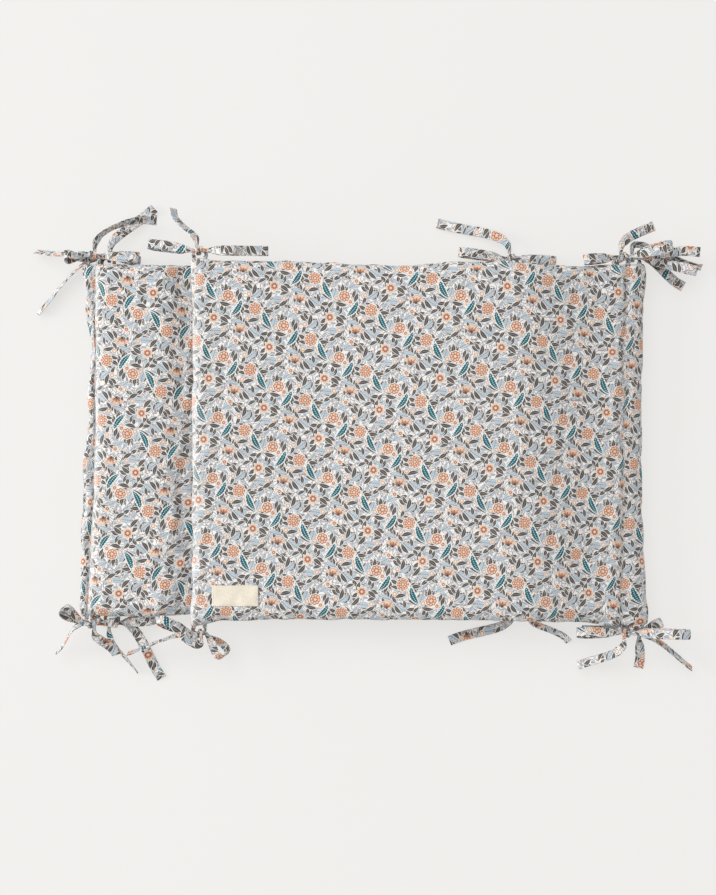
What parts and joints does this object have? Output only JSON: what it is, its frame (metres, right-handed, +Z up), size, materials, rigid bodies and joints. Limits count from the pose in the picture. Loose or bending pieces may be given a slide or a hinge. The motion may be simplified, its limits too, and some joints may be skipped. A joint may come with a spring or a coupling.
{
  "type": "crib bumper",
  "caption": "Padded cotton crib bumper with a small floral print, folded in three and lying flat, with knotted fabric ties along both long seams and a blank sewn label.",
  "frame": {"origin": "on the surface the bumper lies on, under the middle of the whole object with its ties", "axes": "+X along the folded length, towards the fold that sags to the surface; +Y across it, in the plane it lies in; +Z up, out of the cover panel"},
  "size_m": [0.7625, 0.5466, 0.0686],
  "materials": {
    "printed_cotton": "plain-woven cotton with a small all-over floral print, matt",
    "label_cloth": "smooth woven cream tape, blank, with a slight sheen"
  },
  "bodies": {
    "root": {"bumper": "printed_cotton", "label": "label_cloth", "tie_left_fold_top_high_a": "printed_cotton", "tie_left_fold_top_high_b": "printed_cotton", "tie_left_fold_top_low_a": "printed_cotton", "tie_left_fold_top_low_b": "printed_cotton", "tie_right_fold_top_high_a": "printed_cotton", "tie_right_fold_top_high_b": "printed_cotton", "tie_right_fold_top_low_a": "printed_cotton", "tie_right_fold_top_low_b": "printed_cotton", "tie_cover_end_top_a": "printed_cotton", "tie_cover_end_top_b": "printed_cotton", "tie_under_end_top_a": "printed_cotton", "tie_under_end_top_b": "printed_cotton", "tie_left_fold_base_high_a": "printed_cotton", "tie_left_fold_base_high_b": "printed_cotton", "tie_left_fold_base_low_a": "printed_cotton", "tie_left_fold_base_low_b": "printed_cotton", "tie_cover_end_base_a": "printed_cotton", "tie_cover_end_base_b": "printed_cotton", "tie_right_fold_base_high_a": "printed_cotton", "tie_right_fold_base_high_b": "printed_cotton", "tie_right_fold_base_low_a": "printed_cotton", "tie_right_fold_base_low_b": "printed_cotton", "tie_under_end_base_a": "printed_cotton", "tie_under_end_base_b": "printed_cotton"}
  },
  "joints": []
}
